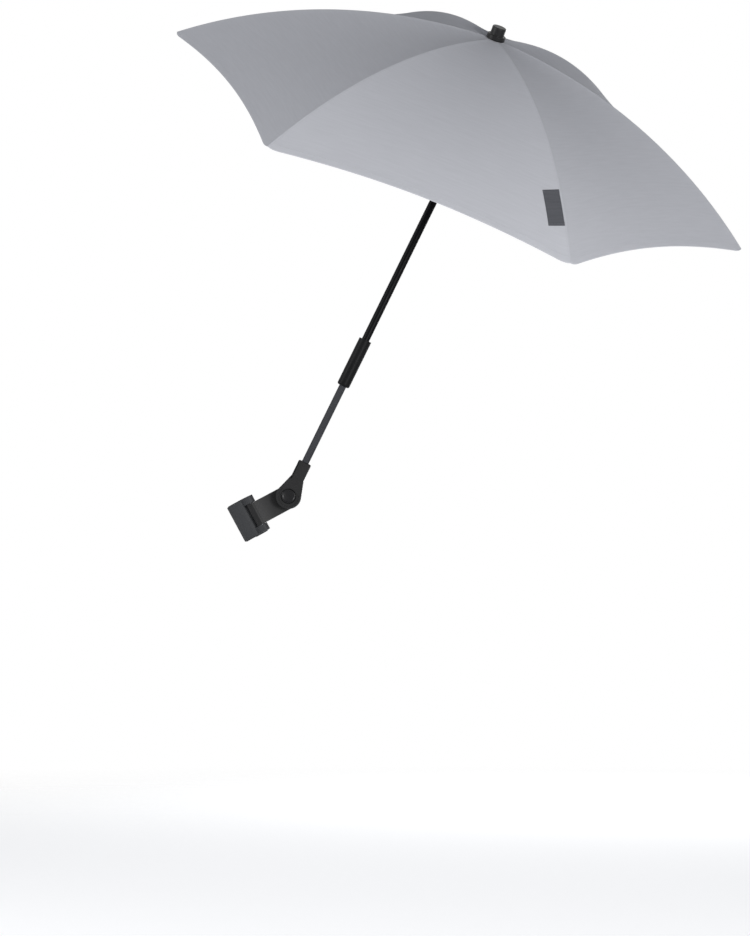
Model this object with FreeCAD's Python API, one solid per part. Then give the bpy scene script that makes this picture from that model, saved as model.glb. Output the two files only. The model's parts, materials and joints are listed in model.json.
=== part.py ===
import FreeCAD, Part
import math
import os

# A parasol for a pram: a clip for a frame tube, a swivelling arm, a tilting two-tube mast,
# and a six-rib folding canopy on a tilt knuckle. Millimetres and degrees.
# The origin is on the axis of the frame tube, at the middle of the clip. +Z is up.

Vector = FreeCAD.Vector
Placement = FreeCAD.Placement
Rotation = FreeCAD.Rotation

# Fits shared by all pieces
running_gap = 0.05
seat_gap = 0.05
clear_gap = 0.3
cut_overrun = 1.0

# Pose of the main pieces
tube_lean = -28.3
mast_lean = 26.15
tilt_aim = -13.6
tilt_rest = 22.5
rib_start_angle = 12.8
rib_count = 6

# Clip and its liner
frame_tube_r = 14.0
liner_wall = 1.2
liner_lip = 0.8
shell_wall = 2.8
clip_length = 49.0
mouth_angle = 110.0
mouth_aim = 150.0
ear_r = 6.5

# Arm and its swivel
arm_reach = 60.4
arm_width = 30.0
arm_thick = 10.4
arm_slope_run = 22.0
swivel_side = 14.0
swivel_front = 21.5
swivel_barrel_r = 6.4
swivel_pin_r = 2.0
ear_gap = 0.4

# Eye and neck at the foot of the mast
eye_r = 16.0
eye_thick = 11.3
eye_rim_wide = 2.8
eye_rim_high = 1.2
recess_r = 9.4
recess_deep = 5.5
neck_wide = 17.0
neck_round = 2.0
neck_start = 6.0
neck_shoulder = 26.0
fitting_length = 48.0
socket_floor = 22.0
side_slot_wide = 2.4
side_slot_deep = 4.0
side_slot_margin = 4.0

# Pivot bolt, washer, nut, button and spring
hub_r = 5.0
hub_proud = 0.2
bolt_shank_r = 2.5
bolt_head_r = 4.0
bolt_head_high = 2.5
bolt_drive_r = 1.5
bolt_drive_deep = 1.4
washer_r = 7.2
washer_thick = 1.5
nut_r = 4.6
nut_high = 4.0
hexagon_sides = 6
button_r = 9.0
button_wall = 1.5
button_top = 1.7
button_proud = 3.0
button_travel = 2.2
button_edge_r = 1.0
spring_r = 6.4
spring_wall = 0.8

# Mast tubes and collar
mast_length = 441.0
lower_tube_r = 4.6
lower_tube_wall = 1.0
lower_tube_top = 288.0
upper_tube_r = 5.0
upper_tube_wall = 0.35
upper_tube_foot = 172.0
collar_foot = 156.0
collar_length = 65.0
collar_r = 8.25
collar_lip = 3.0
collar_wall = 1.4
collar_edge_r = 2.5
collet_length = 11.0
collet_slit = 0.8
collet_slit_count = 4
bush_length = 40.0

# Tilt knuckle under the canopy
knuckle_r = 8.0
fork_plug_length = 24.0
fork_body_length = 22.0
fork_slot_deep = 8.6
tongue_thick = 5.0
tongue_r = 7.0
tongue_bar_wide = 10.0
tongue_shoulder = 10.0
tongue_body_length = 12.0
tongue_plug_length = 20.0
tilt_pin_r = 2.0

# Canopy
apex_height = 201.2
canopy_r = 382.5
canopy_drop = 138.0
rib_bow = 32.0
cloth_thick = 0.8
cloth_hole_r = 7.0
panel_sag = 7.0
hem_rise_share = 0.03
panel_rows = 7
panel_columns = 5

# Top tube, crown and finial
top_tube_r = 4.5
top_tube_wall = 0.5
crown_r = 14.0
crown_gap = 1.2
crown_high = 12.6
crown_slot_wide = 3.9
crown_slot_floor_r = 6.9
rib_pin_ring_r = 10.0
rib_pin_drop = 4.7
rib_pin_r = 1.2
rib_pin_length = 7.0
finial_flange_r = 11.8
finial_flange_high = 6.0
finial_cap_r = 8.9
finial_cap_high = 10.6
finial_edge_r = 1.3
finial_stem_length = 18.0

# Ribs, tip caps, clips and stretchers
rib_r = 1.5
rib_eye_r = 2.6
rib_eye_thick = 3.3
rib_start_r = 17.0
rib_end_inset = 6.0
tip_cap_r = 2.2
tip_cap_length = 9.0
rib_clip_r = 88.0
rib_clip_length = 10.0
rib_clip_wide = 8.4
rib_clip_top = 0.6
rib_clip_drop = 7.0
rib_clip_floor = 2.6
rib_clip_slot_top = 3.2
stretcher_r = 1.2
stretcher_eye_r = 2.5
stretcher_eye_thick = 2.8
stretcher_drop = 45.0

# Runner and its catch
runner_wall = 2.1
runner_flange_r = 13.5
runner_flange_high = 12.0
runner_groove_floor_r = 7.2
runner_above = 9.0
runner_below = 14.0
runner_grip_r = 8.6
runner_grip_high = 4.0
catch_wide = 2.4
catch_length = 20.0
catch_root_r = 3.2
catch_nose_r = 6.3

# Woven tag on the front right panel
tag_thick = 0.5
tag_length = 53.0
tag_wide = 19.0
tag_inset = 2.2
tag_top_share = 0.745
tag_rib = 6

# Sizes that follow from the ones above
axis_x = Vector(1, 0, 0)
axis_y = Vector(0, 1, 0)
axis_z = Vector(0, 0, 1)
liner_r = frame_tube_r + liner_wall
shell_bore_r = liner_r + seat_gap
shell_r = shell_bore_r + shell_wall
mast_offset = swivel_front + eye_thick / 2 + clear_gap
arm_front = -swivel_front
eye_front = -eye_thick / 2
recess_floor = eye_front + recess_deep
hub_front = recess_floor - hub_proud
washer_front = hub_front - washer_thick
bolt_front = washer_front - bolt_head_high
button_front = eye_front - button_proud
button_inner = button_front + button_top
button_rear = recess_floor - clear_gap - button_travel
rib_drop = cloth_thick + clear_gap + tip_cap_r
crown_top = apex_height - cloth_thick - crown_gap
rib_pin_z = crown_top - rib_pin_drop
runner_z = rib_pin_z - stretcher_drop
top_tube_bore_r = top_tube_r - top_tube_wall
rib_step = 360.0 / rib_count
half_step = math.radians(rib_step / 2)

# Ridge of a rib: an arc in the rib's plane, from the cloth's hole to the tip
ridge_run = canopy_r - cloth_hole_r
ridge_chord = math.hypot(ridge_run, canopy_drop)
ridge_arc_r = (ridge_chord ** 2 / 4 + rib_bow ** 2) / (2 * rib_bow)
ridge_fall = math.atan2(canopy_drop, ridge_run)
ridge_mid_r = (canopy_r + cloth_hole_r) / 2
ridge_mid_z = apex_height - canopy_drop / 2
ridge_centre_r = ridge_mid_r - (ridge_arc_r - rib_bow) * math.sin(ridge_fall)
ridge_centre_z = ridge_mid_z - (ridge_arc_r - rib_bow) * math.cos(ridge_fall)
ridge_start = math.asin((cloth_hole_r - ridge_centre_r) / ridge_arc_r)
ridge_sweep = math.asin((canopy_r - ridge_centre_r) / ridge_arc_r) - ridge_start
ridge_length = ridge_arc_r * ridge_sweep

# Frames: the clip's, the mast's at the pivot, the canopy's at the tilt pin
clip_frame = Placement(Vector(), Rotation(axis_y, tube_lean))
pivot_point = clip_frame.multVec(Vector(arm_reach, -mast_offset, 0))
mast_frame = Placement(pivot_point, Rotation(axis_y, mast_lean))
knuckle_frame = mast_frame * Placement(Vector(0, 0, mast_length), Rotation(axis_z, tilt_aim))
canopy_frame = knuckle_frame * Placement(Vector(), Rotation(axis_x, tilt_rest))


def rib_frame(index):
    return canopy_frame * Placement(Vector(), Rotation(axis_z, rib_start_angle + rib_step * index))


def placed(shape, frame):
    copy = shape.copy()
    copy.Placement = frame * copy.Placement
    return copy


def rod(radius, start, end):
    return Part.makeCylinder(radius, (end - start).Length, start, end - start)


def pipe(outer, inner, foot, top):
    wall = Part.makeCylinder(outer, top - foot, Vector(0, 0, foot))
    return wall.cut(Part.makeCylinder(inner, top - foot, Vector(0, 0, foot)))


def block(low, high):
    size = high - low
    return Part.makeBox(size.x, size.y, size.z, low)


def prism(points, direction):
    return Part.Face(Part.makePolygon(points + points[:1])).extrude(direction)


def cross_disc(radius, length, centre):
    """A disc whose axis runs along Y, centred on its own thickness."""
    return Part.makeCylinder(radius, length, centre - Vector(0, length / 2, 0), axis_y)


def front_disc(radius, front, rear):
    """A disc about the pivot axis, from one depth to another."""
    return Part.makeCylinder(radius, rear - front, Vector(0, front, 0), axis_y)


def edges_at_height(shape, height, along):
    """The round edges of a shape that lie at one height along a direction."""
    found = []
    for edge in shape.Edges:
        box = edge.BoundBox
        low = Vector(box.XMin, box.YMin, box.ZMin).dot(along)
        high = Vector(box.XMax, box.YMax, box.ZMax).dot(along)
        if abs(low - height) < seat_gap and abs(high - height) < seat_gap:
            found.append(edge)
    return found


def ring_sector(outer, inner, length):
    """A tube open over the clip's mouth, centred on the frame tube's axis."""
    sweep = 360.0 - mouth_angle
    turn = Placement(Vector(0, 0, -length / 2), Rotation(axis_z, mouth_aim + mouth_angle / 2))
    wall = Part.makeCylinder(outer, length, Vector(), axis_z, sweep)
    wall = wall.cut(Part.makeCylinder(inner, length, Vector()))
    return placed(wall, turn)


def swivel_column(radius, foot, top):
    return Part.makeCylinder(radius, top - foot, Vector(swivel_side, -swivel_front, foot))


def clip_shell():
    shell = ring_sector(shell_r, shell_bore_r, clip_length)
    ear_foot = arm_width / 2 + ear_gap
    ear_top = clip_length / 2
    inside = Part.makeCylinder(shell_bore_r, clip_length, Vector(0, 0, -clip_length / 2))
    reach = math.hypot(swivel_side, swivel_front)
    aim = math.degrees(math.atan2(-swivel_front, swivel_side))
    web = block(Vector(0, -ear_r, ear_foot), Vector(reach, ear_r, ear_top))
    ear = placed(web, Placement(Vector(), Rotation(axis_z, aim)))
    ear = ear.fuse(swivel_column(ear_r, ear_foot, ear_top)).cut(inside)
    lower_ear = ear.mirror(Vector(), axis_z)
    shell = shell.fuse([ear, lower_ear])
    hole = swivel_column(swivel_pin_r + seat_gap, -clip_length, clip_length)
    return shell.cut(hole).removeSplitter()


def clip_liner():
    sleeve = ring_sector(liner_r, frame_tube_r, clip_length)
    lip = ring_sector(liner_r + liner_lip, frame_tube_r, liner_lip)
    shift = clip_length / 2 + liner_lip / 2
    top_lip = placed(lip, Placement(Vector(0, 0, shift), Rotation()))
    foot_lip = placed(lip, Placement(Vector(0, 0, -shift), Rotation()))
    return sleeve.fuse([top_lip, foot_lip]).removeSplitter()


def swivel_pin():
    half = clip_length / 2
    return swivel_column(swivel_pin_r, -half, half)


def arm():
    half = arm_width / 2
    rear = arm_front + arm_thick
    barrel_front = -swivel_front - swivel_barrel_r
    slope_end = swivel_side + arm_slope_run
    outline = [
        Vector(swivel_side, barrel_front, -half),
        Vector(slope_end, arm_front, -half),
        Vector(arm_reach, arm_front, -half),
        Vector(arm_reach, rear, -half),
        Vector(swivel_side + swivel_barrel_r, rear, -half),
        Vector(swivel_side, arm_front + swivel_barrel_r, -half),
    ]
    body = prism(outline, Vector(0, 0, arm_width))
    body = body.fuse(swivel_column(swivel_barrel_r, -half, half))
    end = Part.makeCylinder(half, arm_thick, Vector(arm_reach, arm_front, 0), axis_y)
    hub_length = mast_offset + arm_front - hub_front
    hub = Part.makeCylinder(hub_r, hub_length, Vector(arm_reach, arm_front, 0), -axis_y)
    body = body.fuse([end, hub]).removeSplitter()
    bolt_hole = Part.makeCylinder(
        bolt_shank_r + seat_gap, hub_length + arm_thick, Vector(arm_reach, rear, 0), -axis_y)
    nut_pocket = hexagon(nut_r + seat_gap, nut_high, Vector(arm_reach, rear - nut_high, 0))
    body = body.cut(bolt_hole).cut(nut_pocket)
    return body.cut(swivel_column(swivel_pin_r + running_gap, -half, half))


def hexagon(radius, height, centre):
    """A hexagonal prism that rises along Y."""
    corners = []
    for index in range(hexagon_sides):
        turn = math.radians(360.0 / hexagon_sides * index)
        corners.append(centre + Vector(radius * math.cos(turn), 0, radius * math.sin(turn)))
    return prism(corners, Vector(0, height, 0))


def end_fitting():
    half_neck = neck_wide / 2
    rear = eye_thick / 2
    eye = front_disc(eye_r, eye_front, rear)
    side = math.sqrt(eye_r ** 2 - neck_start ** 2)
    outline = [
        Vector(-side, eye_front, neck_start),
        Vector(side, eye_front, neck_start),
        Vector(half_neck, eye_front, neck_shoulder),
        Vector(half_neck, eye_front, fitting_length),
        Vector(-half_neck, eye_front, fitting_length),
        Vector(-half_neck, eye_front, neck_shoulder),
    ]
    neck = prism(outline, Vector(0, eye_thick, 0))
    rim = front_disc(eye_r, eye_front - eye_rim_high, eye_front)
    rim = rim.cut(front_disc(eye_r - eye_rim_wide, eye_front - eye_rim_high, eye_front))
    rim_top = Vector(eye_r, eye_front, eye_r)
    rim = rim.cut(block(Vector(-eye_r, eye_front - eye_rim_high, neck_start), rim_top))
    body = eye.fuse([neck, rim]).removeSplitter()
    top_edges = edges_at_height(body, fitting_length, axis_z)
    body = body.makeFillet(neck_round, top_edges)
    socket = Part.makeCylinder(
        lower_tube_r + seat_gap, fitting_length, Vector(0, 0, socket_floor))
    slot_low = Vector(-half_neck, eye_front, neck_shoulder - side_slot_margin)
    slot_high = Vector(
        -half_neck + side_slot_wide, eye_front + side_slot_deep, fitting_length - side_slot_margin)
    body = body.cut([socket, block(slot_low, slot_high)])
    recess = front_disc(recess_r, eye_front, recess_floor)
    hub_hole = front_disc(hub_r + running_gap, recess_floor, rear)
    return body.cut([recess, hub_hole])


def pivot_bolt():
    rear = mast_offset + arm_front + arm_thick
    head = front_disc(bolt_head_r, bolt_front, washer_front)
    drive = hexagon(bolt_drive_r, bolt_drive_deep, Vector(0, bolt_front, 0))
    shank = front_disc(bolt_shank_r, washer_front, rear)
    return head.cut(drive).fuse(shank).removeSplitter()


def pivot_washer():
    ring = front_disc(washer_r, washer_front, hub_front)
    return ring.cut(front_disc(bolt_shank_r + seat_gap, washer_front, hub_front))


def pivot_nut():
    rear = mast_offset + arm_front + arm_thick
    body = hexagon(nut_r, nut_high, Vector(0, rear - nut_high, 0))
    return body.cut(front_disc(bolt_shank_r + seat_gap, rear - nut_high, rear))


def lock_button():
    cup = front_disc(button_r, button_front, button_rear)
    cup = cup.makeFillet(button_edge_r, edges_at_height(cup, button_front, axis_y))
    return cup.cut(front_disc(button_r - button_wall, button_inner, button_rear))


def button_spring():
    ring = front_disc(spring_r, button_inner, washer_front)
    return ring.cut(front_disc(spring_r - spring_wall, button_inner, washer_front))


def lower_tube():
    return pipe(lower_tube_r, lower_tube_r - lower_tube_wall, socket_floor, lower_tube_top)


def upper_tube():
    top = mast_length - fork_body_length
    return pipe(upper_tube_r, upper_tube_r - upper_tube_wall, upper_tube_foot, top)


def twist_collar():
    top = collar_foot + collar_length
    body = Part.makeCylinder(collar_r, collar_length, Vector(0, 0, collar_foot))
    body = body.makeFillet(collar_edge_r, edges_at_height(body, collar_foot, axis_z))
    cavity = Part.makeCylinder(
        collar_r - collar_wall, collar_length - 2 * collar_lip, Vector(0, 0, collar_foot + collar_lip))
    foot_hole = Part.makeCylinder(
        lower_tube_r + clear_gap, collar_lip, Vector(0, 0, collar_foot))
    top_hole = Part.makeCylinder(
        upper_tube_r + clear_gap, collar_lip, Vector(0, 0, top - collar_lip))
    return body.cut([cavity, foot_hole, top_hole])


def collar_fill_r():
    return collar_r - collar_wall - clear_gap


def collet():
    top = upper_tube_foot - seat_gap
    foot = top - collet_length
    body = pipe(collar_fill_r(), lower_tube_r + running_gap, foot, top)
    slit_high = foot + collet_length / 2
    for index in range(collet_slit_count):
        slit = block(
            Vector(0, -collet_slit / 2, foot), Vector(collar_r, collet_slit / 2, slit_high))
        turn = Rotation(axis_z, 360.0 / collet_slit_count * index)
        body = body.cut(placed(slit, Placement(Vector(), turn)))
    return body


def collar_bush():
    top = collar_foot + collar_length - collar_lip - clear_gap
    return pipe(collar_fill_r(), upper_tube_r + seat_gap, top - bush_length, top)


def tilt_fork():
    body = Part.makeCylinder(knuckle_r, fork_body_length, Vector(0, 0, -fork_body_length))
    cheeks = Part.makeCylinder(knuckle_r, 2 * knuckle_r, Vector(-knuckle_r, 0, 0), axis_x)
    round_off = Part.makeCylinder(knuckle_r, 2 * knuckle_r, Vector(0, 0, -knuckle_r))
    plug_r = upper_tube_r - upper_tube_wall - seat_gap
    plug = Part.makeCylinder(
        plug_r, fork_plug_length, Vector(0, 0, -fork_body_length - fork_plug_length))
    fork = body.fuse([cheeks.common(round_off), plug])
    half_slot = tongue_thick / 2 + clear_gap
    slot = block(
        Vector(-half_slot, -2 * knuckle_r, -fork_slot_deep),
        Vector(half_slot, 2 * knuckle_r, 2 * knuckle_r))
    return fork.cut(slot).cut(tilt_bore(seat_gap))


def tilt_bore(gap):
    return Part.makeCylinder(
        tilt_pin_r + gap, 2 * knuckle_r, Vector(-knuckle_r, 0, 0), axis_x)


def tilt_pin():
    return tilt_bore(0)


def tilt_tongue():
    half_thick = tongue_thick / 2
    disc = Part.makeCylinder(tongue_r, tongue_thick, Vector(-half_thick, 0, 0), axis_x)
    bar = block(
        Vector(-half_thick, -tongue_bar_wide / 2, 0),
        Vector(half_thick, tongue_bar_wide / 2, tongue_shoulder))
    body = Part.makeCylinder(knuckle_r, tongue_body_length, Vector(0, 0, tongue_shoulder))
    top = tongue_shoulder + tongue_body_length
    plug = Part.makeCylinder(top_tube_bore_r - seat_gap, tongue_plug_length, Vector(0, 0, top))
    return disc.fuse([bar, body, plug]).cut(tilt_bore(running_gap)).removeSplitter()


def top_tube():
    tube = pipe(top_tube_r, top_tube_bore_r, tongue_shoulder + tongue_body_length, crown_top)
    half = catch_wide / 2 + clear_gap
    window = block(
        Vector(0, -half, catch_foot() - clear_gap),
        Vector(2 * top_tube_r, half, catch_foot() + catch_length + clear_gap))
    return tube.cut(window)


def catch_foot():
    return runner_z - runner_below - clear_gap - catch_length


def catch_spring():
    foot = catch_foot()
    top = foot + catch_length
    start = -catch_wide / 2
    outline = [
        Vector(catch_root_r, start, foot),
        Vector(top_tube_r, start, foot),
        Vector(catch_nose_r, start, top),
        Vector(catch_root_r, start, top),
    ]
    return prism(outline, Vector(0, catch_wide, 0))


def crown():
    foot = crown_top - crown_high
    body = pipe(crown_r, top_tube_r + seat_gap, foot, crown_top)
    for index in range(rib_count):
        slot = block(
            Vector(crown_slot_floor_r, -crown_slot_wide / 2, foot),
            Vector(2 * crown_r, crown_slot_wide / 2, crown_top))
        pin_hole = cross_disc(
            rib_pin_r + seat_gap, rib_pin_length, Vector(rib_pin_ring_r, 0, rib_pin_z))
        turn = Placement(Vector(), Rotation(axis_z, rib_start_angle + rib_step * index))
        body = body.cut([placed(slot, turn), placed(pin_hole, turn)])
    return body


def crown_pins():
    pins = []
    for index in range(rib_count):
        pin = cross_disc(rib_pin_r, rib_pin_length, Vector(rib_pin_ring_r, 0, rib_pin_z))
        pins.append(placed(pin, Placement(Vector(), Rotation(axis_z, rib_start_angle + rib_step * index))))
    return Part.makeCompound(pins)


def finial():
    foot = apex_height + clear_gap
    flange = Part.makeCylinder(finial_flange_r, finial_flange_high, Vector(0, 0, foot))
    cap_high = finial_flange_high + finial_cap_high
    cap = Part.makeCylinder(finial_cap_r, cap_high, Vector(0, 0, foot))
    cap = cap.makeFillet(finial_edge_r, edges_at_height(cap, foot + cap_high, axis_z))
    stem = Part.makeCylinder(
        top_tube_bore_r - seat_gap, finial_stem_length, Vector(0, 0, foot - finial_stem_length))
    return flange.fuse([cap, stem]).removeSplitter()


def ridge_point(share, below):
    """A point on the ridge arc, or on the arc that lies a given distance below it."""
    turn = ridge_start + ridge_sweep * share
    reach = ridge_arc_r - below
    return Vector(ridge_centre_r + reach * math.sin(turn), 0, ridge_centre_z + reach * math.cos(turn))


def ridge_share(radius, below):
    """The share of the ridge's sweep at which the arc below it reaches a radius."""
    turn = math.asin((radius - ridge_centre_r) / (ridge_arc_r - below))
    return (turn - ridge_start) / ridge_sweep


def ridge_rod(radius, from_share, to_share):
    """A round rod along the arc below the ridge."""
    first = ridge_point(from_share, rib_drop)
    last = ridge_point(to_share, rib_drop)
    middle = ridge_point((from_share + to_share) / 2, rib_drop)
    path = Part.Wire([Part.Arc(first, middle, last).toShape()])
    section = Part.Wire([Part.makeCircle(radius, first, ridge_tangent(from_share))])
    return path.makePipeShell([section], True, True)


def ridge_tangent(share):
    radial = ridge_point(share, 0) - ridge_point(share, rib_drop)
    return Vector(radial.z, 0, -radial.x).normalize()


def rib_end_share():
    return ridge_share(canopy_r - rib_end_inset, rib_drop)


def rib_pivot():
    return Vector(rib_pin_ring_r, 0, rib_pin_z)


def rib():
    start_share = ridge_share(rib_start_r, rib_drop)
    start = ridge_point(start_share, rib_drop)
    bar = ridge_rod(rib_r, start_share, rib_end_share())
    eye = cross_disc(rib_eye_r, rib_eye_thick, rib_pivot())
    neck = rod(rib_r, rib_pivot(), start)
    knee = Part.makeSphere(rib_r, start)
    body = bar.fuse([eye, neck, knee])
    hole = cross_disc(rib_pin_r + running_gap, rib_eye_thick, rib_pivot())
    return body.cut(hole).removeSplitter()


def tip_cap():
    """A round cap with a blind bore, closed by a half ball past the rib's end."""
    share = rib_end_share()
    end = ridge_point(share, rib_drop)
    along = ridge_tangent(share)
    foot = end - along * (tip_cap_length - tip_cap_r)
    cap = rod(tip_cap_r, foot, end + along * seat_gap)
    cap = cap.fuse(Part.makeSphere(tip_cap_r, end + along * seat_gap))
    bore = rod(rib_r + seat_gap, foot - along * cut_overrun, end + along * seat_gap)
    return cap.cut(bore).removeSplitter()


def rib_clip_frame():
    """At the rod's centre under the clip: X along the rib, Z up from it."""
    share = ridge_share(rib_clip_r, rib_drop)
    along = ridge_tangent(share)
    return Placement(ridge_point(share, rib_drop), Rotation(axis_x, along))


def rib_clip():
    half_long = rib_clip_length / 2
    half_wide = rib_clip_wide / 2
    foot = -rib_clip_drop - rib_clip_floor
    body = block(Vector(-half_long, -half_wide, foot), Vector(half_long, half_wide, rib_clip_top))
    half_slot = stretcher_eye_thick / 2 + clear_gap
    slot = block(
        Vector(-rib_clip_length, -half_slot, foot),
        Vector(rib_clip_length, half_slot, -rib_clip_slot_top))
    pin = cross_disc(rib_pin_r, rib_clip_wide, Vector(0, 0, -rib_clip_drop))
    return body.cut(slot).fuse(pin).removeSplitter()


def rib_clip_bored():
    """The clip in the rib's plane, bored for the bent rod."""
    body = placed(rib_clip(), rib_clip_frame())
    margin = rib_clip_length / canopy_r
    share = ridge_share(rib_clip_r, rib_drop)
    return body.cut(ridge_rod(rib_r + seat_gap, share - margin, share + margin))


def stretcher_pivot():
    return rib_clip_frame().multVec(Vector(0, 0, -rib_clip_drop))


def runner_pivot():
    return Vector(rib_pin_ring_r, 0, runner_z)


def stretcher():
    outer = cross_disc(stretcher_eye_r, stretcher_eye_thick, stretcher_pivot())
    inner = cross_disc(stretcher_eye_r, stretcher_eye_thick, runner_pivot())
    bar = rod(stretcher_r, stretcher_pivot(), runner_pivot())
    hole = cross_disc(rib_pin_r + running_gap, stretcher_eye_thick, stretcher_pivot())
    return outer.fuse([inner, bar]).cut(hole).removeSplitter()


def runner():
    bore = top_tube_r + running_gap
    foot = runner_z - runner_below
    body = pipe(bore + runner_wall, bore, foot, runner_z + runner_above)
    half = runner_flange_high / 2
    flange = pipe(runner_flange_r, bore, runner_z - half, runner_z + half)
    grip = pipe(runner_grip_r, bore, foot, foot + runner_grip_high)
    body = body.fuse([flange, grip]).removeSplitter()
    for index in range(rib_count):
        groove = block(
            Vector(runner_groove_floor_r, -crown_slot_wide / 2, runner_z - half),
            Vector(2 * runner_flange_r, crown_slot_wide / 2, runner_z + half))
        turn = Rotation(axis_z, rib_start_angle + rib_step * index)
        body = body.cut(placed(groove, Placement(Vector(), turn)))
    return body


def cloth_point(length_share, side_share, side):
    """A point on a panel: from the crown to the hem, and from the rib to the panel's middle."""
    ease = 2 * side_share - side_share ** 2
    on_ridge = ridge_point(length_share * (1 - hem_rise_share * ease), 0)
    spread = side_share * math.sin(half_step) ** 2
    across = side_share * math.sin(half_step) * math.cos(half_step)
    sink = panel_sag * math.sin(math.pi * length_share) * ease
    return Vector(on_ridge.x * (1 - spread), side * on_ridge.x * across, on_ridge.z - sink)


def smooth_face(rows):
    surface = Part.BSplineSurface()
    surface.interpolate(rows)
    return surface.toShape()


def panel_edge_share(length_share):
    """Leaves half a gap between this share of the cloth and its neighbour's."""
    half_wide = ridge_point(length_share, 0).x * math.sin(half_step)
    return 1 - clear_gap / 2 / half_wide


def half_panel_face(side):
    """The cloth from the rib to the gap at the panel's middle, and from the crown to the hem."""
    rows = []
    for row in range(panel_rows):
        length_share = row / (panel_rows - 1)
        far = panel_edge_share(length_share)
        rows.append([cloth_point(length_share, far * column / (panel_columns - 1), side)
                     for column in range(panel_columns)])
    return smooth_face(rows)


def canopy_share():
    halves = [half_panel_face(side).extrude(Vector(0, 0, -cloth_thick)) for side in (1, -1)]
    return halves[0].fuse(halves[1])


def squared_point(along, across, side):
    """A point on the cloth at a distance down the rib, and at another square to the rib."""
    share = along / ridge_length
    reach = cloth_point(share, 1, side) - cloth_point(share, 0, side)
    slip = reach.dot(ridge_tangent(share))
    side_share = across / (reach - ridge_tangent(share) * slip).Length
    return cloth_point(share - slip * side_share / ridge_length, side_share, side)


def woven_tag():
    """A strip whose underside follows the cloth's own face, a clear gap above it."""
    cloth = half_panel_face(-1).Surface
    rows = []
    for row in range(panel_rows):
        along = tag_top_share * ridge_length + tag_length * row / (panel_rows - 1)
        points = []
        for column in range(panel_columns):
            across = tag_inset + tag_wide * column / (panel_columns - 1)
            seat = cloth.value(*cloth.parameter(squared_point(along, across, -1)))
            points.append(seat + Vector(0, 0, clear_gap))
        rows.append(points)
    return smooth_face(rows).extrude(Vector(0, 0, tag_thick))


pieces = {
    "clip_shell": placed(clip_shell(), clip_frame),
    "clip_liner": placed(clip_liner(), clip_frame),
    "swivel_pin": placed(swivel_pin(), clip_frame),
    "arm": placed(arm(), clip_frame),
    "end_fitting": placed(end_fitting(), mast_frame),
    "pivot_bolt": placed(pivot_bolt(), mast_frame),
    "pivot_washer": placed(pivot_washer(), mast_frame),
    "pivot_nut": placed(pivot_nut(), Placement(pivot_point, clip_frame.Rotation)),
    "lock_button": placed(lock_button(), mast_frame),
    "button_spring": placed(button_spring(), mast_frame),
    "lower_tube": placed(lower_tube(), mast_frame),
    "upper_tube": placed(upper_tube(), mast_frame),
    "twist_collar": placed(twist_collar(), mast_frame),
    "collet": placed(collet(), mast_frame),
    "collar_bush": placed(collar_bush(), mast_frame),
    "tilt_fork": placed(tilt_fork(), knuckle_frame),
    "tilt_pin": placed(tilt_pin(), knuckle_frame),
    "tilt_tongue": placed(tilt_tongue(), canopy_frame),
    "top_tube": placed(top_tube(), canopy_frame),
    "catch_spring": placed(catch_spring(), canopy_frame),
    "crown": placed(crown(), canopy_frame),
    "crown_pins": placed(crown_pins(), canopy_frame),
    "finial": placed(finial(), canopy_frame),
    "runner": placed(runner(), canopy_frame),
}
for number in range(1, rib_count + 1):
    frame = rib_frame(number - 1)
    pieces["rib_%d" % number] = placed(rib(), frame)
    pieces["rib_tip_%d" % number] = placed(tip_cap(), frame)
    pieces["rib_clip_%d" % number] = placed(rib_clip_bored(), frame)
    pieces["stretcher_%d" % number] = placed(stretcher(), frame)
    pieces["canopy_%d" % number] = placed(canopy_share(), frame)
pieces["woven_tag"] = placed(woven_tag(), rib_frame(tag_rib - 1))

os.makedirs("parts", exist_ok=True)
for name, shape in pieces.items():
    shape.exportStep("parts/%s.step" % name)
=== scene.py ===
"""Looks of a pram parasol: a six-rib cloth canopy on a black two-tube mast, an end fitting
with a round button, a flat arm and a clip for a frame tube. Metres, in the part's own frame."""

import json
import math

import bmesh
import bpy
from mathutils import Matrix, Vector


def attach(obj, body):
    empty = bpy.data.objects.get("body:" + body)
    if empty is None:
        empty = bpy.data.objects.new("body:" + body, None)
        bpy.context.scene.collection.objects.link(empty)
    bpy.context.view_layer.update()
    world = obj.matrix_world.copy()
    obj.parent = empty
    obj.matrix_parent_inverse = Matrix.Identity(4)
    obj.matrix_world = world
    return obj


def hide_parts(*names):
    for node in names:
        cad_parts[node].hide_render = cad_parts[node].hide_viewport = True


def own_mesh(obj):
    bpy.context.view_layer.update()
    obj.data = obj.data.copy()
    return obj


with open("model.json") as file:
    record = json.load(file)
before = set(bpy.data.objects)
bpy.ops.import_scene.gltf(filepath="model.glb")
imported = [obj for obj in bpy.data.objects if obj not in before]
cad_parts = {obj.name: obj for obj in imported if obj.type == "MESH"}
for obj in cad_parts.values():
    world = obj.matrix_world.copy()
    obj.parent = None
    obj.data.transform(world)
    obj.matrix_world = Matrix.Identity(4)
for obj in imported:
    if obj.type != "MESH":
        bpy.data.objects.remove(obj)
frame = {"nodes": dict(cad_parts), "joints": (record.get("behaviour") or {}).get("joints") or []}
nodes = frame["nodes"]
joints = {joint["name"]: joint for joint in frame["joints"]}
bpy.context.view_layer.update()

MM = 0.001
ribs = range(1, 7)

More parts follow.
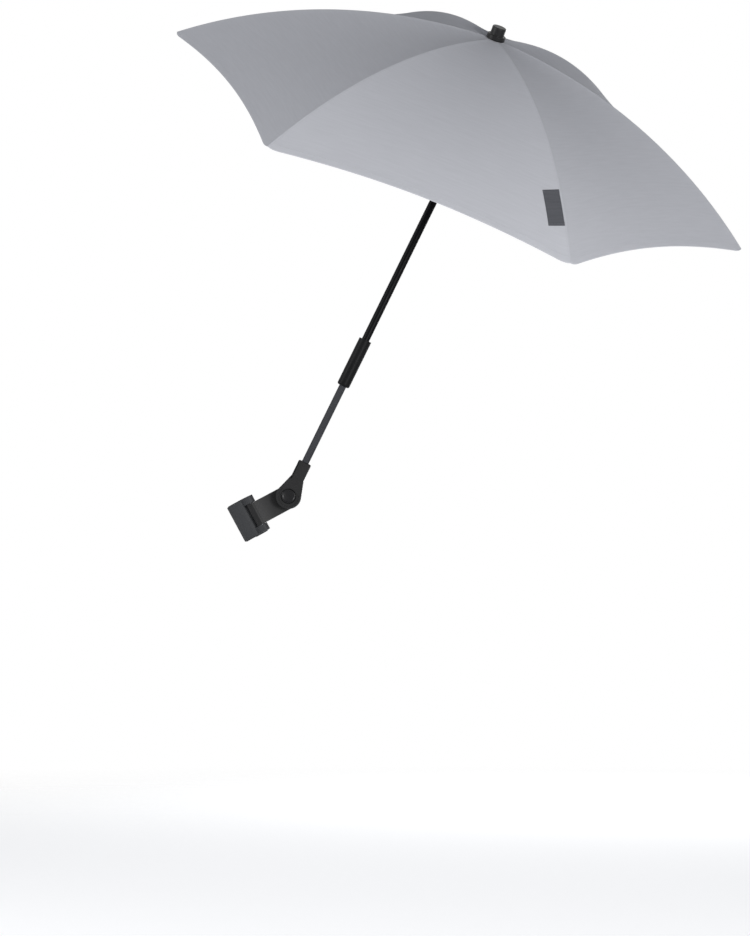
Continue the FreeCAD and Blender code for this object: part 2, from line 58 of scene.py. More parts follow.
# Canopy, as in the part's source
apex_height = 201.2 * MM
canopy_r = 382.5 * MM
canopy_drop = 138 * MM
rib_bow = 32 * MM
cloth_hole_r = 7 * MM
panel_sag = 7 * MM
hem_rise_share = 0.03
half_panel = math.radians(30)
cap_drop = 3.3 * MM
cap_r = 2.2 * MM
rib_end_inset = 6 * MM
tag_rib = 6
tag_length = 53 * MM
tag_wide = 19 * MM
tag_inset = 2.2 * MM
tag_top_share = 0.745

# Sewing of the cloth
cloth_layer = 0.45 * MM
hem_wide = 10 * MM
hem_extra = 0.4 * MM
hem_edge = 1.2 * MM
hem_top_share = 1 / 3
seam_wide = 3.0 * MM
seam_extra = 0.12 * MM
seam_edge = 1.0 * MM
corner_wide_share = 0.08
corner_cut_share = 0.010
hem_lift_share = 0.011
pucker_high = 0.07 * MM
pucker_pitch = 9 * MM
seam_pucker = (2 * MM, 14 * MM)
hem_pucker = (3 * MM, 18 * MM)
stitch_pitch = 3.4 * MM
stitch_length = 2.5 * MM
thread_wide = 0.4 * MM
thread_proud_share = 0.1
seam_row = 2.2 * MM
seam_row_start_share = 0.06
hem_row = 8.6 * MM
hem_row_start_share = 0.02
pocket_slack = 0.05 * MM
pocket_length = 14 * MM
cuff_start_share = 0.8
cuff_flare_share = 1.05
tape_layer = 0.35 * MM
tape_fold = 5 * MM
tape_edge = 1.2 * MM
tape_gap = 0.05 * MM
tape_row = 2.4 * MM

# Button: its cup as in the part's source, then the rim and dish of its face
button_r = 9 * MM
button_wall = 1.5 * MM
button_top = 1.7 * MM
button_rim = 1.1 * MM
button_dish = 0.7 * MM
dish_slope_wide = 1.6 * MM
dish_slope_share = 0.7
dish_edge_wide = 2.6 * MM
dish_middle_share = 1.1

# Moulded edges
arm_edge = 0.8 * MM
mould_edge = 0.5 * MM

# Mesh of a cloth share, and of the copied nodes
cloth_rows = 72
even_columns = 22
seam_columns = (0.8 * MM, 1.7 * MM, 2.6 * MM, 3.4 * MM, 4.4 * MM, 6.5 * MM, 9 * MM, 12 * MM, 16 * MM)
seam_columns_share = 1 / 3
hem_rows = (0.6 * MM, 2 * MM, 5 * MM, 8 * MM, 9.4 * MM, 10.6 * MM, 13 * MM)
along_step_share = 0.01
weld_gap = 0.002 * MM
flat_angle = math.radians(0.8)
rounded_angle = math.radians(40)


def rgb(code):
    """The linear colour of an sRGB hex code."""
    channels = [int(code[i:i + 2], 16) / 255 for i in (0, 2, 4)]
    linear = [c / 12.92 if c <= 0.04045 else ((c + 0.055) / 1.055) ** 2.4 for c in channels]
    return (*linear, 1.0)


def add(tree, kind, inputs=None, **settings):
    """Adds a node with its settings. An input is a constant or the socket that feeds it."""
    node = tree.nodes.new(kind)
    for name, value in settings.items():
        setattr(node, name, value)
    for name, value in (inputs or {}).items():
        if isinstance(value, bpy.types.NodeSocket):
            tree.links.new(value, node.inputs[name])
        else:
            node.inputs[name].default_value = value
    return node


def new_material(name):
    """An empty node material and its tree."""
    material = bpy.data.materials.new(name)
    material.use_nodes = True
    material.node_tree.nodes.clear()
    return material, material.node_tree


def wave_scale(pitch):
    """Scale of a Wave texture whose bands are one pitch apart."""
    return 2 * math.pi / 20 / pitch


def noise_scale(grain):
    """Scale of a Noise texture whose grains are about this wide."""
    return 1 / (2 * grain)


def woven_cloth(name, light, dark, thread, bump, sheen):
    """A plain weave on the piece's own cut: warp and weft change over at each thread."""
    streak_wide = 20 * MM
    streak_stretch = 12
    material, tree = new_material(name)
    cut = add(tree, "ShaderNodeUVMap", uv_map="cut").outputs["UV"]
    warp = add(tree, "ShaderNodeTexWave", {"Vector": cut, "Scale": wave_scale(thread)},
               wave_type="BANDS", bands_direction="X")
    weft = add(tree, "ShaderNodeTexWave", {"Vector": cut, "Scale": wave_scale(thread)},
               wave_type="BANDS", bands_direction="Y")
    over = add(tree, "ShaderNodeTexChecker", {"Vector": cut, "Scale": 1 / thread})
    height = add(tree, "ShaderNodeMix", {
        "Factor": over.outputs["Fac"], "A": warp.outputs["Fac"], "B": weft.outputs["Fac"]})
    # Uneven yarn: soft streaks a few threads wide along the weft
    streak = add(tree, "ShaderNodeMapping", {"Vector": cut, "Scale": (1, streak_stretch, 1)})
    yarn = add(tree, "ShaderNodeTexNoise", {
        "Vector": streak.outputs["Vector"], "Scale": noise_scale(streak_wide),
        "Detail": 3.0, "Roughness": 0.6})
    colour = add(tree, "ShaderNodeMix", {
        "Factor": yarn.outputs["Fac"], 6: rgb(dark), 7: rgb(light)}, data_type="RGBA")
    relief = add(tree, "ShaderNodeBump", {
        "Height": height.outputs[0], "Strength": bump, "Distance": thread / 6})
    rough = add(tree, "ShaderNodeMapRange", {
        "Value": yarn.outputs["Fac"], "To Min": 0.78, "To Max": 0.92})
    shader = add(tree, "ShaderNodeBsdfPrincipled", {
        "Base Color": colour.outputs[2], "Roughness": rough.outputs[0],
        "Normal": relief.outputs[0], "IOR": 1.5, "Specular IOR Level": 0.2,
        "Sheen Weight": sheen, "Sheen Roughness": 0.5})
    add(tree, "ShaderNodeOutputMaterial", {"Surface": shader.outputs[0]})
    return material


def coated(name, light, dark, grain, bump, rough, shine=0.3, metallic=0.0):
    """A moulded, lacquered or plated surface: a fine even grain and a faint cloudiness."""
    cloud_wide = 14 * MM
    material, tree = new_material(name)
    place = add(tree, "ShaderNodeTexCoord").outputs["Object"]
    skin = add(tree, "ShaderNodeTexNoise", {
        "Vector": place, "Scale": noise_scale(grain), "Detail": 2.0})
    cloud = add(tree, "ShaderNodeTexNoise", {
        "Vector": place, "Scale": noise_scale(cloud_wide), "Detail": 4.0})
    colour = add(tree, "ShaderNodeMix", {
        "Factor": cloud.outputs["Fac"], 6: rgb(dark), 7: rgb(light)}, data_type="RGBA")
    gloss = add(tree, "ShaderNodeMapRange", {
        "Value": skin.outputs["Fac"], "From Min": 0.3, "From Max": 0.7,
        "To Min": rough * 0.85, "To Max": rough * 1.15})
    relief = add(tree, "ShaderNodeBump", {
        "Height": skin.outputs["Fac"], "Strength": bump, "Distance": grain / 4})
    shader = add(tree, "ShaderNodeBsdfPrincipled", {
        "Base Color": colour.outputs[2], "Roughness": gloss.outputs[0],
        "Normal": relief.outputs[0], "Metallic": metallic, "Specular IOR Level": shine})
    add(tree, "ShaderNodeOutputMaterial", {"Surface": shader.outputs[0]})
    return material


# Plain-woven polyester, dyed cool grey. The real yarn is about 0.3 mm: it is drawn at 1.1 mm so
# that the weave shows at all. It gives a dull, even surface with a trace of sheen at grazing light.
canopy_cloth = woven_cloth("woven_polyester_grey", "BDBEC3", "B1B2B7", 1.1 * MM, 0.3, 0.05)
# Satin-woven label tape, charcoal. Its floats lie close, so the weave is finer and a little shiny. It
# is drawn coarser than life too.
tag_cloth = woven_cloth("woven_label_tape_charcoal", "5A5B60", "3E3F44", 0.9 * MM, 0.5, 0.2)
# Twisted polyester sewing thread, dyed to match the cloth, with uneven twist.
seam_thread = coated("polyester_thread_grey", "B6B7BA", "A5A6AA", 0.3 * MM, 0.4, 0.7)
tag_thread = coated("polyester_thread_charcoal", "6A6B70", "4C4D52", 0.3 * MM, 0.4, 0.7)
# Glass-filled nylon from a spark-eroded mould: near-black, satin, with a fine pebble.
black_nylon = coated("moulded_nylon_black", "19191A", "121213", 0.6 * MM, 0.08, 0.42, 0.22)
# The collar's nylon: deeper black and duller than the arm's, with a shallower pebble.
collar_nylon = coated("moulded_nylon_deep_black", "151516", "0E0E0F", 0.8 * MM, 0.05, 0.45, 0.07)
# The same nylon, coloured grey for the clip, which looks paler than the arm.
grey_nylon = coated("moulded_nylon_grey", "3A3B3D", "303133", 0.6 * MM, 0.1, 0.5, 0.18)
# Polished acetal: black and smooth enough to carry a sharp highlight round its edge.
button_acetal = coated("polished_acetal_black", "141416", "0E0E10", 1.2 * MM, 0.02, 0.28, 0.2)
# Thermoplastic rubber: dark and dull, with a powdery skin.
liner_rubber = coated("soft_rubber_black", "1F2021", "17181A", 0.5 * MM, 0.3, 0.8)
# Aluminium tube under gloss black lacquer: deep colour, a soft highlight, a little orange peel.
gloss_tube = coated("gloss_lacquered_tube", "101012", "0A0A0C", 2.5 * MM, 0.02, 0.36, 0.05)
# Steel tube with matt powder coat: charcoal with a fine dry grain.
matt_tube = coated("powder_coated_tube", "404144", "333437", 0.5 * MM, 0.15, 0.6, 0.06)
# Spring-steel rod under black enamel: thin, hard and slightly glossy.
rib_steel = coated("enamelled_rib_steel", "2B2C2E", "202123", 0.8 * MM, 0.05, 0.35)
# Zinc-plated steel for pins and springs: bright, with a cloudy roughness.
pin_steel = coated("zinc_plated_steel", "B9BCC1", "9EA1A7", 0.4 * MM, 0.1, 0.3, metallic=1.0)


# Ridge of a rib: an arc in the rib's plane, from the cloth's hole to the tip
ridge_run = canopy_r - cloth_hole_r
ridge_chord = math.hypot(ridge_run, canopy_drop)
ridge_arc_r = (ridge_chord ** 2 / 4 + rib_bow ** 2) / (2 * rib_bow)
ridge_fall = math.atan2(canopy_drop, ridge_run)
ridge_centre_r = (canopy_r + cloth_hole_r) / 2 - (ridge_arc_r - rib_bow) * math.sin(ridge_fall)
ridge_centre_z = apex_height - canopy_drop / 2 - (ridge_arc_r - rib_bow) * math.cos(ridge_fall)
ridge_start = math.asin((cloth_hole_r - ridge_centre_r) / ridge_arc_r)
ridge_end = math.asin((canopy_r - ridge_centre_r) / ridge_arc_r)
ridge_length = ridge_arc_r * (ridge_end - ridge_start)

# The canopy's axis points up the post, and the tilt pin lies on it
knuckle = Vector(joints["canopy_tilt"]["pos_m"])
canopy_axis = -Vector(joints["runner_slide"]["axis"])


def rib_frame(number):
    """The rib's plane: X along the rib, Y across it, Z up the canopy's axis."""
    across = Vector(joints["rib_%d_fold" % number]["axis"])
    along = across.cross(canopy_axis)
    turn = Matrix((along, across, canopy_axis)).transposed().to_4x4()
    return Matrix.Translation(knuckle) @ turn


def ridge_point(share, below=0.0):
    """A point on the rib's ridge, or a way below it, at a share of the ridge's length."""
    turn = ridge_start + (ridge_end - ridge_start) * share
    reach = ridge_arc_r - below
    return Vector((ridge_centre_r + reach * math.sin(turn), 0,
                   ridge_centre_z + reach * math.cos(turn)))


def half_width(length_share):
    """From the rib to the panel's middle, along the chord between two ribs."""
    return ridge_point(length_share).x * math.sin(half_panel)


def hem_share(side_share):
    """Where the hem lies on the ridge's length: raised in mid panel, rounded at the tip."""
    ease = 2 * side_share - side_share ** 2
    corner = max(0.0, 1 - side_share / corner_wide_share)
    rise = (hem_rise_share + hem_lift_share) * ease
    return 1 + hem_lift_share - rise - corner_cut_share * corner ** 2


def cloth_point(length_share, side_share, side):
    """A point on a panel: from the crown to the hem, and from the rib to the panel's middle."""
    ease = 2 * side_share - side_share ** 2
    on_ridge = ridge_point(length_share * hem_share(side_share))
    spread = side_share * math.sin(half_panel) ** 2
    across = side_share * math.sin(half_panel) * math.cos(half_panel)
    sink = panel_sag * math.sin(math.pi * length_share) * ease
    return Vector((on_ridge.x * (1 - spread), side * on_ridge.x * across, on_ridge.z - sink))


def falling(value, wide):
    """1 at zero, easing to 0 at the given width and beyond."""
    share = min(1.0, max(0.0, value / wide))
    return 1 - share * share * (3 - 2 * share)


def drawn_in(distance, band):
    """1 in the band beside a row of thread where the thread draws the cloth in, easing to 0 outside."""
    near, far = band
    return falling(distance, far) * (1 - falling(distance, near))


def cloth_lift(from_seam, from_hem, along):
    """The outer face's small relief: the felled seam, the hem's fold and the thread's pucker."""
    seam = seam_extra * falling(from_seam - seam_wide, seam_edge)
    hem = hem_extra * hem_top_share * falling(from_hem - hem_wide, hem_edge)
    ripple = pucker_high * math.sin(2 * math.pi * along / pucker_pitch)
    return max(seam, hem) + ripple * max(drawn_in(from_seam, seam_pucker), drawn_in(from_hem, hem_pucker))


def cloth_depth(from_seam, from_hem):
    """Thickness of the cloth: one layer, more where it is felled or folded."""
    seam = 2 * seam_extra * falling(from_seam - seam_wide, seam_edge)
    hem = hem_extra * falling(from_hem - hem_wide, hem_edge)
    return cloth_layer + max(seam, hem)


def cloth_columns(length_share):
    """Side shares of the mesh's columns: close together at the seam, then even."""
    wide = half_width(length_share)
    squeeze = min(1.0, wide * seam_columns_share / seam_columns[-1])
    near = [distance * squeeze / wide for distance in seam_columns]
    step = (1 - near[-1]) / even_columns
    return [0.0] + near + [near[-1] + step * (i + 1) for i in range(even_columns)]


def cloth_row_shares():
    """Length shares of the mesh's rows: even, then close together at the hem."""
    close = [1 - distance / ridge_length for distance in hem_rows]
    even = [i * close[-1] / cloth_rows for i in range(cloth_rows)]
    return even + close[::-1] + [1.0]


def cloth_measures(length_share, side_share):
    """Ways on the cloth from a point: to the seam, to the hem, and from the crown and the seam."""
    from_seam = side_share * half_width(length_share)
    from_hem = (1 - length_share) * ridge_length
    return from_seam, from_hem, length_share * ridge_length + from_seam


def outer_point(length_share, side_share, side):
    """A point on the cloth's outer face, its relief included."""
    lift = cloth_lift(*cloth_measures(length_share, side_share))
    return cloth_point(length_share, side_share, side) + Vector((0, 0, lift))


def cloth_row(length_share, side):
    """One row of a half panel: outer points, inner points and places on the flat cut."""
    outer, inner, cut = [], [], []
    for side_share in cloth_columns(length_share):
        from_seam, from_hem, along = cloth_measures(length_share, side_share)
        top = outer_point(length_share, side_share, side)
        outer.append(top)
        inner.append(top - Vector((0, 0, cloth_depth(from_seam, from_hem))))
        cut.append((-side * (half_width(length_share) - from_seam), along - from_seam))
    return outer, inner, cut


def new_piece(name, mesh, material):
    """A mesh as an object of the scene, with its material."""
    piece = bpy.data.objects.new(name, mesh)
    bpy.context.scene.collection.objects.link(piece)
    if material:
        mesh.materials.append(material)
    return piece


def plain_mesh(piece):
    """Bakes the piece's modifiers into its mesh."""
    bpy.context.view_layer.update()
    evaluated = piece.evaluated_get(bpy.context.evaluated_depsgraph_get())
    mesh = bpy.data.meshes.new_from_object(evaluated)
    piece.modifiers.clear()
    old = piece.data
    piece.data = mesh
    bpy.data.meshes.remove(old)
    return piece


def smooth(piece, angle):
    """Smooth shading, with edges sharper than the angle left crisp."""
    piece.data.shade_smooth()
    piece.data.set_sharp_from_angle(angle=math.radians(angle))
    return piece


def gather_on_rib(piece, number):
    """The piece rides its rib, with a mesh of its own."""
    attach(piece, "rib_%d" % number)
    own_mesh(piece)


def sheet_mesh(name, rows_of_sides, place):
    """A closed cloth shell from rows of outer and inner points, with its flat cut as the UV map."""
    mesh = bpy.data.meshes.new(name)
    shell = bmesh.new()
    uv_layer = shell.loops.layers.uv.new("cut")
    outer, inner, spot = [], [], {}
    for outer_row, inner_row, cut_row in rows_of_sides:
        outer.append([shell.verts.new(place @ point) for point in outer_row])
        inner.append([shell.verts.new(place @ point) for point in inner_row])
        for vert, cut in zip(outer[-1] + inner[-1], cut_row + cut_row):
            spot[vert] = cut
    last_row = len(outer) - 1
    last_column = len(outer[0]) - 1
    for i in range(last_row):
        for j in range(last_column):
            shell.faces.new((outer[i][j], outer[i + 1][j], outer[i + 1][j + 1], outer[i][j + 1]))
            shell.faces.new((inner[i][j + 1], inner[i + 1][j + 1], inner[i + 1][j], inner[i][j]))
    for i in range(last_row):
        shell.faces.new((inner[i][0], inner[i + 1][0], outer[i + 1][0], outer[i][0]))
        shell.faces.new((outer[i][last_column], outer[i + 1][last_column],
                         inner[i + 1][last_column], inner[i][last_column]))
    for j in range(last_column):
        shell.faces.new((outer[0][j + 1], inner[0][j + 1], inner[0][j], outer[0][j]))
        shell.faces.new((outer[last_row][j], inner[last_row][j],
                         inner[last_row][j + 1], outer[last_row][j + 1]))
    for face in shell.faces:
        for loop in face.loops:
            loop[uv_layer].uv = spot[loop.vert]
    shell.to_mesh(mesh)
    shell.free()
    return mesh


def canopy_share(number):
    """The cloth that one rib carries, out to the middle of the panel on each side."""
    rows = []
    for length_share in cloth_row_shares():
        left = cloth_row(length_share, -1)
        right = cloth_row(length_share, 1)
        rows.append(tuple(far[:0:-1] + near for far, near in zip(left, right)))
    name = "canopy_cloth_%d" % number
    piece = new_piece(name, sheet_mesh(name, rows, rib_frame(number)), canopy_cloth)
    return smooth(piece, 60)


def stitch_group():
    """Lays stitches along polylines: one rounded thread per pitch, lying along the line."""
    tree = bpy.data.node_groups.new("stitch_row", "GeometryNodeTree")
    for direction, label in (("INPUT", "Line"), ("OUTPUT", "Stitches")):
        tree.interface.new_socket(label, in_out=direction, socket_type="NodeSocketGeometry")
    sizes = {
        label: tree.interface.new_socket(label, in_out="INPUT", socket_type=kind).identifier
        for label, kind in (("Pitch", "NodeSocketFloat"), ("Length", "NodeSocketFloat"),
                            ("Width", "NodeSocketFloat"), ("Thread", "NodeSocketMaterial"))}
    given = add(tree, "NodeGroupInput").outputs
    line = add(tree, "GeometryNodeMeshToCurve", {"Mesh": given["Line"]})
    spots = add(tree, "GeometryNodeResampleCurve", {
        "Curve": line.outputs[0], "Length": given["Pitch"]}, mode="LENGTH")
    along = add(tree, "GeometryNodeInputTangent")
    turn = add(tree, "FunctionNodeAlignRotationToVector", {"Vector": along.outputs[0]}, axis="Z")
    bead = add(tree, "GeometryNodeMeshUVSphere", {"Segments": 6, "Rings": 5, "Radius": 0.5})
    size = add(tree, "ShaderNodeCombineXYZ", {
        "X": given["Width"], "Y": given["Width"], "Z": given["Length"]})
    thread = add(tree, "GeometryNodeTransform", {"Geometry": bead.outputs[0], "Scale": size.outputs[0]})
    row = add(tree, "GeometryNodeInstanceOnPoints", {
        "Points": spots.outputs[0], "Instance": thread.outputs[0], "Rotation": turn.outputs[0]})
    real = add(tree, "GeometryNodeRealizeInstances", {"Geometry": row.outputs[0]})
    dressed = add(tree, "GeometryNodeSetMaterial", {
        "Geometry": real.outputs[0], "Material": given["Thread"]})
    add(tree, "NodeGroupOutput", {"Stitches": dressed.outputs[0]})
    return tree, sizes


stitch_row, stitch_sizes = stitch_group()


def stitches(name, lines, thread):
    """Stitches along lists of points, as one plain mesh."""
    mesh = bpy.data.meshes.new(name)
    points, edges = [], []
    for line in lines:
        start = len(points)
        points.extend(line)
        edges.extend((start + i, start + i + 1) for i in range(len(line) - 1))
    mesh.from_pydata(points, edges, [])
    piece = new_piece(name, mesh, None)
    modifier = piece.modifiers.new("stitches", "NODES")
    modifier.node_group = stitch_row
    modifier[stitch_sizes["Pitch"]] = stitch_pitch
    modifier[stitch_sizes["Length"]] = stitch_length
    modifier[stitch_sizes["Width"]] = thread_wide
    modifier[stitch_sizes["Thread"]] = thread
    return smooth(plain_mesh(piece), 60)


def even_steps(first, last, steps):
    """Evenly spaced values from the first to the last."""
    return [first + (last - first) * i / steps for i in range(steps + 1)]


def seam_stitches(number):
    """On each side of the rib, one row beside the seam and one row above the hem."""
    place = rib_frame(number)
    hem_line = 1 - hem_row / ridge_length
    steps = 90
    lines = []
    for side in (-1, 1):
        lines.append([place @ outer_point(down, seam_row / half_width(down), side)
                      for down in even_steps(seam_row_start_share, hem_line, steps)])
        lines.append([place @ outer_point(hem_line, across, side)
                      for across in even_steps(hem_row_start_share, 1, steps)])
    return stitches("canopy_stitches_%d" % number, lines, seam_thread)


def turned(name, profile, place, material):
    """A closed shape turned about the place's Z axis. Its profile runs from axis to axis."""
    around = 48
    shape = bmesh.new()
    uv_layer = shape.loops.layers.uv.new("cut")
    rings = []
    for radius, height in profile:
        turns = [2 * math.pi * i / around for i in range(around if radius else 1)]
        rings.append([shape.verts.new((radius * math.cos(a), radius * math.sin(a), height))
                      for a in turns])
    for first, second in zip(rings, rings[1:]):
        for i in range(around):
            corners = [ring[j % len(ring)] for ring, j in (
                (first, i), (first, i + 1), (second, i + 1), (second, i))]
            shape.faces.new(list(dict.fromkeys(corners)))
    for face in shape.faces:
        for loop in face.loops:
            loop[uv_layer].uv = (loop.vert.co.x, loop.vert.co.z)
    bmesh.ops.recalc_face_normals(shape, faces=shape.faces)
    bmesh.ops.transform(shape, matrix=place, verts=shape.verts)
    mesh = bpy.data.meshes.new(name)
    shape.to_mesh(mesh)
    shape.free()
    return smooth(new_piece(name, mesh, material), 50)


def arc(centre_r, centre_z, radius, first, last, steps):
    """Points of a round stretch of a profile. Angles count from the radius towards the axis."""
    angles = [math.radians(angle) for angle in even_steps(first, last, steps)]
    return [(centre_r + radius * math.cos(a), centre_z + radius * math.sin(a)) for a in angles]


def looking_along(point, direction):
    """A frame at the point whose Z axis runs in the direction."""
    turn = Vector(direction).to_track_quat("Z", "Y").to_matrix().to_4x4()
    return Matrix.Translation(point) @ turn


def tip_pocket(number):
    """A small cloth pocket under the hem that holds the rib's cap."""
    share = (math.asin((canopy_r - rib_end_inset - ridge_centre_r) / (ridge_arc_r - cap_drop))
             - ridge_start) / (ridge_end - ridge_start)
    end = ridge_point(share, cap_drop)
    along = end - ridge_point(share - along_step_share, cap_drop)
    inner_r = cap_r + pocket_slack
    outer_r = inner_r + cloth_layer
    cuff = -pocket_length
    nose = arc(0, 0, outer_r, 0, 80, 6)
    lining = arc(0, 0, inner_r, 80, 0, 6)
    profile = [(0, inner_r)] + lining + [(inner_r, cuff), (outer_r * cuff_flare_share, cuff)]
    profile += [(outer_r, cuff * cuff_start_share)] + nose + [(0, outer_r)]
    place = rib_frame(number) @ looking_along(end, along)
    return turned("tip_pocket_%d" % number, profile, place, canopy_cloth)


def tag_point(down, across, lift):
    """A point over the cloth, a way down the tag from its top and a way square to the rib."""
    share = tag_top_share + down / ridge_length
    turn = ridge_start + (ridge_end - ridge_start) * share
    half = half_width(share)
    up_the_rib = half * math.sin(half_panel) * math.cos(turn)
    side_share = (tag_inset + across) / math.sqrt(half ** 2 - up_the_rib ** 2)
    level = share + side_share * up_the_rib / ridge_length
    return outer_point(level / hem_share(side_share), side_share, -1) + Vector((0, 0, lift))


def woven_tag():
    """A bare strip of label tape on the front right panel, its two ends folded under."""
    columns = 12
    steps_down = 30
    rows = []
    for i in range(steps_down + 1):
        down = tag_length * i / steps_down
        from_end = min(down, tag_length - down)
        depth = tape_layer * (1 + falling(from_end - tape_fold, tape_edge))
        outer, inner, cut = [], [], []
        for j in range(columns + 1):
            across = tag_wide * (1 - j / columns)
            from_edge = min(across, tag_wide - across)
            top = tape_gap + depth - tape_layer / 2 * falling(from_edge, tape_edge)
            outer.append(tag_point(down, across, top))
            inner.append(tag_point(down, across, tape_gap))
            cut.append((across, down))
        rows.append((outer, inner, cut))
    piece = new_piece("tag_tape", sheet_mesh("tag_tape", rows, rib_frame(tag_rib)), tag_cloth)
    return smooth(piece, 50)


def tag_stitches():
    """One row of thread across each end of the tag."""
    steps = 12
    top = tape_gap + 2 * tape_layer + thread_wide * thread_proud_share
    lines = []
    for down in (tape_row, tag_length - tape_row):
        lines.append([rib_frame(tag_rib) @ tag_point(down, across, top)
                      for across in even_steps(tape_edge, tag_wide - tape_edge, steps)])
    return stitches("tag_stitches", lines, tag_thread)


for number in ribs:
    cloth = canopy_share(number)
    gather_on_rib(cloth, number)
    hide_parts("canopy_%d" % number)
    thread = seam_stitches(number)
    gather_on_rib(thread, number)
    pocket = tip_pocket(number)
    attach(pocket, "rib_%d" % number)

tag = woven_tag()
gather_on_rib(tag, tag_rib)
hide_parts("woven_tag")
tag_thread_rows = tag_stitches()
gather_on_rib(tag_thread_rows, tag_rib)


def merged_copy(node):
    """A CAD node's mesh, joined at its seams and freed of needless edges."""
    mesh = nodes[node].data.copy()
    mesh.materials.clear()
    shape = bmesh.new()
    shape.from_mesh(mesh)
    bmesh.ops.remove_doubles(shape, verts=shape.verts, dist=weld_gap)
    bmesh.ops.dissolve_limit(
        shape, angle_limit=flat_angle, verts=shape.verts, edges=shape.edges)
    shape.to_mesh(mesh)
    shape.free()
    return mesh


def rounded_copy(node, name, body, material, edge):
    """A copy of a CAD node with its sharp edges rounded as a mould leaves them."""
    piece = smooth(new_piece(name, merged_copy(node), material), 35)
    bevel = piece.modifiers.new("edges", "BEVEL")
    bevel.width = edge
    bevel.segments = 3
    bevel.limit_method = "ANGLE"
    bevel.angle_limit = rounded_angle
    flat = piece.modifiers.new("flats", "WEIGHTED_NORMAL")
    flat.keep_sharp = True
    plain_mesh(piece)
    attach(piece, body)
    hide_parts(node)


def giving_spring(node, name, body):
    """A copy of a spring that rides its body."""
    piece = smooth(new_piece(name, merged_copy(node), pin_steel), 35)
    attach(piece, body)
    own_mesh(piece)
    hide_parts(node)


rounded_copy("arm", "arm_plate", "arm", black_nylon, arm_edge)
rounded_copy("end_fitting", "eye_fitting", "foot", black_nylon, mould_edge)
rounded_copy("clip_shell", "clip_body", "clip", grey_nylon, mould_edge)
rounded_copy("finial", "finial_cap", "post", black_nylon, mould_edge)


def lock_button():
    """A round push button: a raised rim round a shallow dish."""
    depths = [vert.co.y for vert in nodes["lock_button"].data.vertices]
    pivot = Vector(joints["mast_tilt"]["pos_m"])
    place = looking_along(Vector((pivot.x, min(depths), pivot.z)), (0, -1, 0))
    rear = min(depths) - max(depths)
    bore_r = button_r - button_wall
    crest = button_r - button_rim
    profile = [(0, -button_top), (bore_r, -button_top), (bore_r, rear), (button_r, rear)]
    profile += arc(crest, -button_rim, button_rim, 0, 140, 10)
    profile += [(crest - dish_slope_wide, -button_dish * dish_slope_share),
                (crest - dish_edge_wide, -button_dish), (0, -button_dish * dish_middle_share)]
    piece = turned("button_cap", profile, place, button_acetal)
    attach(piece, "button")
    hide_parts("lock_button")


lock_button()
# Copies of the button's spring and the catch spring, riding the arm and the post. The button presses its
# spring, and the runner pushes the catch into the post as it passes
giving_spring("button_spring", "press_spring", "arm")
giving_spring("catch_spring", "runner_catch", "post")

finishes = {
    collar_nylon: ["twist_collar"],
    black_nylon: ["collet", "collar_bush", "tilt_fork", "tilt_tongue", "crown", "runner"]
    + ["%s_%d" % (kind, k) for kind in ("rib_tip", "rib_clip") for k in ribs],
    liner_rubber: ["clip_liner"],
    gloss_tube: ["upper_tube"],
    matt_tube: ["lower_tube", "top_tube"],
    rib_steel: ["%s_%d" % (kind, k) for kind in ("rib", "stretcher") for k in ribs],
    pin_steel: ["swivel_pin", "pivot_bolt", "pivot_washer", "pivot_nut", "tilt_pin", "crown_pins"],
}
for finish, names in finishes.items():
    for name in names:
        nodes[name].data.materials.clear()
        nodes[name].data.materials.append(finish)


# Floor, light and camera
floor_centre = (0.25, 0, -0.51)
floor_r = 6.0
floor_fade = (1.2, 3.2)
lamp_aim = Vector((0.2, 0, 0.35))
camera_place = (0.1628, -4.5003, -0.0346)
camera_lens = 135.58
camera_rise = math.radians(1.27)


def in_sight(tree):
    """1 on rays from the camera, also by way of a mirror or glass, and 0 on rays that carry light."""
    path = add(tree, "ShaderNodeLightPath").outputs
    mirrored = add(tree, "ShaderNodeMath", {
        0: path["Is Glossy Ray"], 1: path["Is Transmission Ray"]}, operation="MAXIMUM")
    seen = add(tree, "ShaderNodeMath", {
        0: path["Is Camera Ray"], 1: mirrored.outputs[0]}, operation="MAXIMUM")
    return seen.outputs[0]


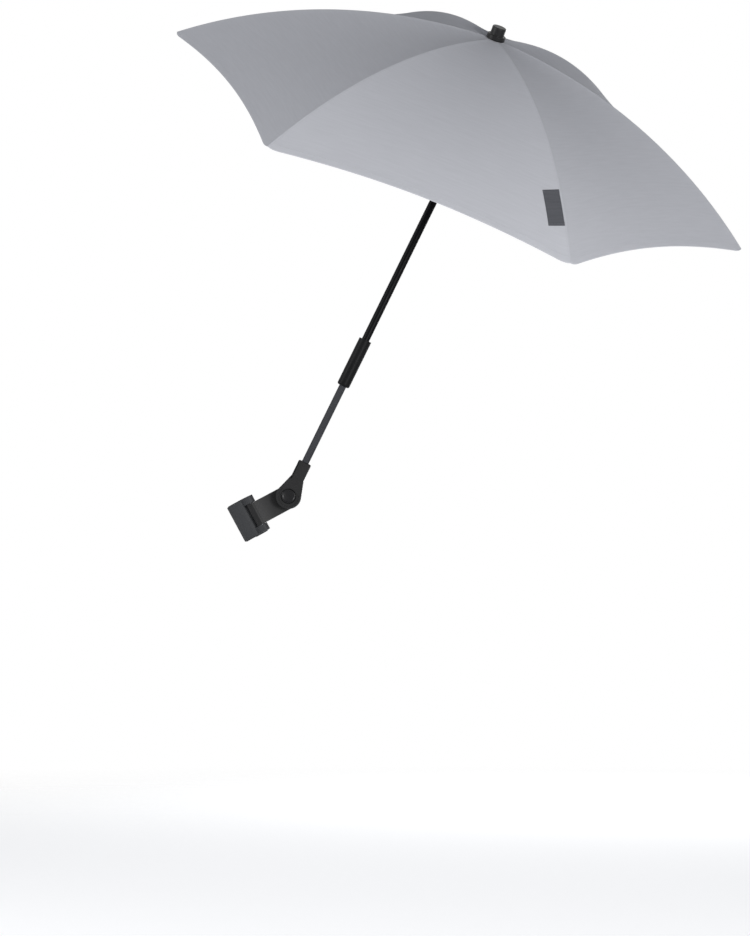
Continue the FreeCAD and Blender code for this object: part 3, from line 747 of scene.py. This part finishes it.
def floor():
    """A pale disc below the part that fades into the white round it."""
    mesh = bpy.data.meshes.new("floor")
    disc = bmesh.new()
    bmesh.ops.create_circle(disc, cap_ends=True, segments=96, radius=floor_r,
                            matrix=Matrix.Translation(floor_centre))
    disc.to_mesh(mesh)
    disc.free()
    material, tree = new_material("pale_floor")
    place = add(tree, "ShaderNodeTexCoord").outputs["Object"]
    centre = add(tree, "ShaderNodeVectorMath", {0: place, 1: floor_centre},
                 operation="DISTANCE")
    solid = add(tree, "ShaderNodeMapRange", {
        "Value": centre.outputs["Value"], "From Min": floor_fade[0], "From Max": floor_fade[1],
        "To Min": 1.0, "To Max": 0.0}, interpolation_type="SMOOTHSTEP")
    paint = add(tree, "ShaderNodeBsdfDiffuse", {"Color": rgb("FAFAFA")})
    # What the dim light leaves short of white is made up where the floor is seen
    glow = add(tree, "ShaderNodeEmission", {"Color": rgb("A8A8A8"), "Strength": in_sight(tree)})
    lit = add(tree, "ShaderNodeAddShader", {0: paint.outputs[0], 1: glow.outputs[0]})
    # From below the floor is not there
    under = add(tree, "ShaderNodeNewGeometry").outputs["Backfacing"]
    shown = add(tree, "ShaderNodeMath", {0: solid.outputs[0], 1: under},
                operation="SUBTRACT", use_clamp=True)
    clear = add(tree, "ShaderNodeBsdfTransparent")
    faded = add(tree, "ShaderNodeMixShader", {
        0: shown.outputs[0], 1: clear.outputs[0], 2: lit.outputs[0]})
    add(tree, "ShaderNodeOutputMaterial", {"Surface": faded.outputs[0]})
    new_piece("floor", mesh, material)


def sky(strength):
    """White where it is seen or mirrored, and a plain dim fill as light."""
    world = bpy.data.worlds.new("studio")
    bpy.context.scene.world = world
    world.use_nodes = True
    tree = world.node_tree
    tree.nodes.clear()
    white = add(tree, "ShaderNodeBackground", {"Color": rgb("FFFFFF"), "Strength": 1.0})
    fill = add(tree, "ShaderNodeBackground", {"Color": rgb("E4EAF7"), "Strength": strength})
    both = add(tree, "ShaderNodeMixShader", {
        0: in_sight(tree), 1: fill.outputs[0], 2: white.outputs[0]})
    add(tree, "ShaderNodeOutputWorld", {"Surface": both.outputs[0]})


def softbox(name, azimuth, elevation, distance, size, power):
    """A square lamp that looks at the canopy. Azimuth 0 stands at the camera, 90 at +X."""
    lamp = bpy.data.lights.new(name, "AREA")
    lamp.shape = "SQUARE"
    lamp.size = size
    lamp.energy = power
    holder = bpy.data.objects.new(name, lamp)
    bpy.context.scene.collection.objects.link(holder)
    a, e = math.radians(azimuth), math.radians(elevation)
    back = Vector((math.sin(a) * math.cos(e), -math.cos(a) * math.cos(e), math.sin(e)))
    holder.location = lamp_aim + back * distance
    holder.rotation_euler = (-back).to_track_quat("-Z", "Y").to_euler()


floor()
sky(strength=0.18)
softbox("key", azimuth=30, elevation=-4, distance=3.0, size=0.8, power=60)
softbox("side", azimuth=-60, elevation=15, distance=3.0, size=1.0, power=46)
softbox("back", azimuth=165, elevation=5, distance=3.0, size=1.2, power=32)

camera_data = bpy.data.cameras.new("camera")
camera_data.sensor_width = 36
camera_data.lens = camera_lens
camera_data.clip_end = 100
camera = bpy.data.objects.new("camera", camera_data)
bpy.context.scene.collection.objects.link(camera)
camera.location = camera_place
camera.rotation_euler = (math.radians(90) + camera_rise, 0, 0)
bpy.context.scene.camera = camera
bpy.context.scene.view_settings.view_transform = "Standard"
